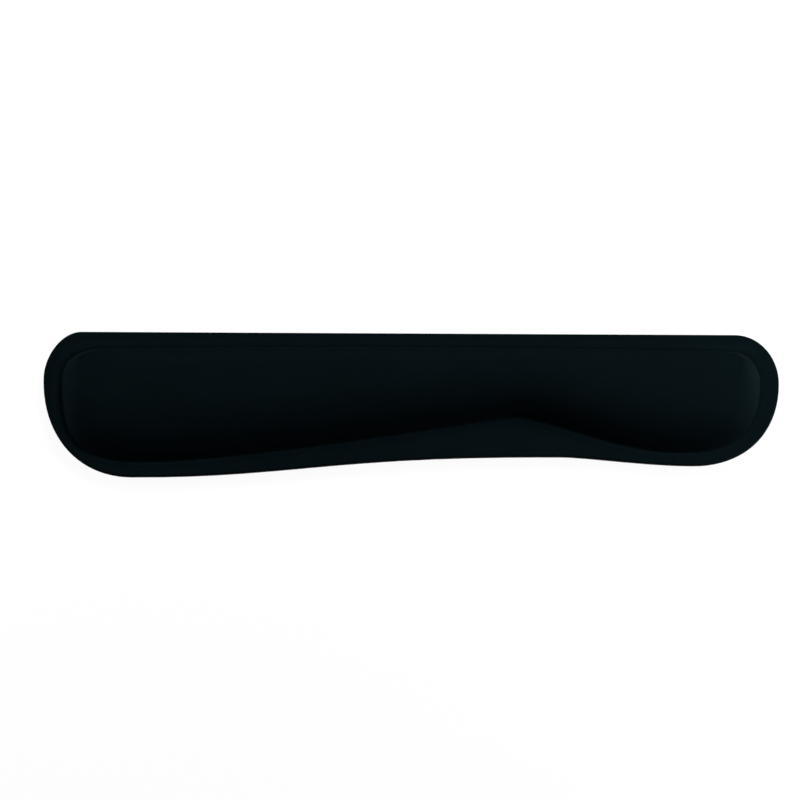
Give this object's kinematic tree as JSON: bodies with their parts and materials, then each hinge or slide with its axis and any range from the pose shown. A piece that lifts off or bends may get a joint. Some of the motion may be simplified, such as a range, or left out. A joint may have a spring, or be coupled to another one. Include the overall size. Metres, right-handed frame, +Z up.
{
  "type": "wrist rest",
  "caption": "Long gel-filled keyboard wrist rest with a moulded knit cover, a wavy rolled front edge, a flat pressed rim and a non-slip rubber sole.",
  "frame": {"origin": "on the surface the rest stands on, in the middle of the outline's box", "axes": "+X along the rest towards the number-pad end, +Y from the user towards the keyboard, +Z up"},
  "size_m": [0.48, 0.0962, 0.0219],
  "materials": {
    "knit_cover": "matt black moulded jersey knit with a faint cool sheen",
    "gel_film": "smoke-grey translucent polyurethane film, satin",
    "gel": "soft translucent polyurethane gel, wet gloss",
    "bond_film": "dull hot-melt adhesive film, dark between its neighbours",
    "base_foam": "black closed-cell foam, fine cellular cut edge",
    "sole_rubber": "black natural rubber with a fine moulded non-slip pattern"
  },
  "bodies": {
    "root": {"sole": "sole_rubber", "sole_bond": "bond_film", "base_foam": "base_foam", "core_bond": "bond_film", "lower_film": "gel_film", "gel_core": "gel", "upper_film": "gel_film", "cover": "knit_cover"}
  },
  "joints": []
}
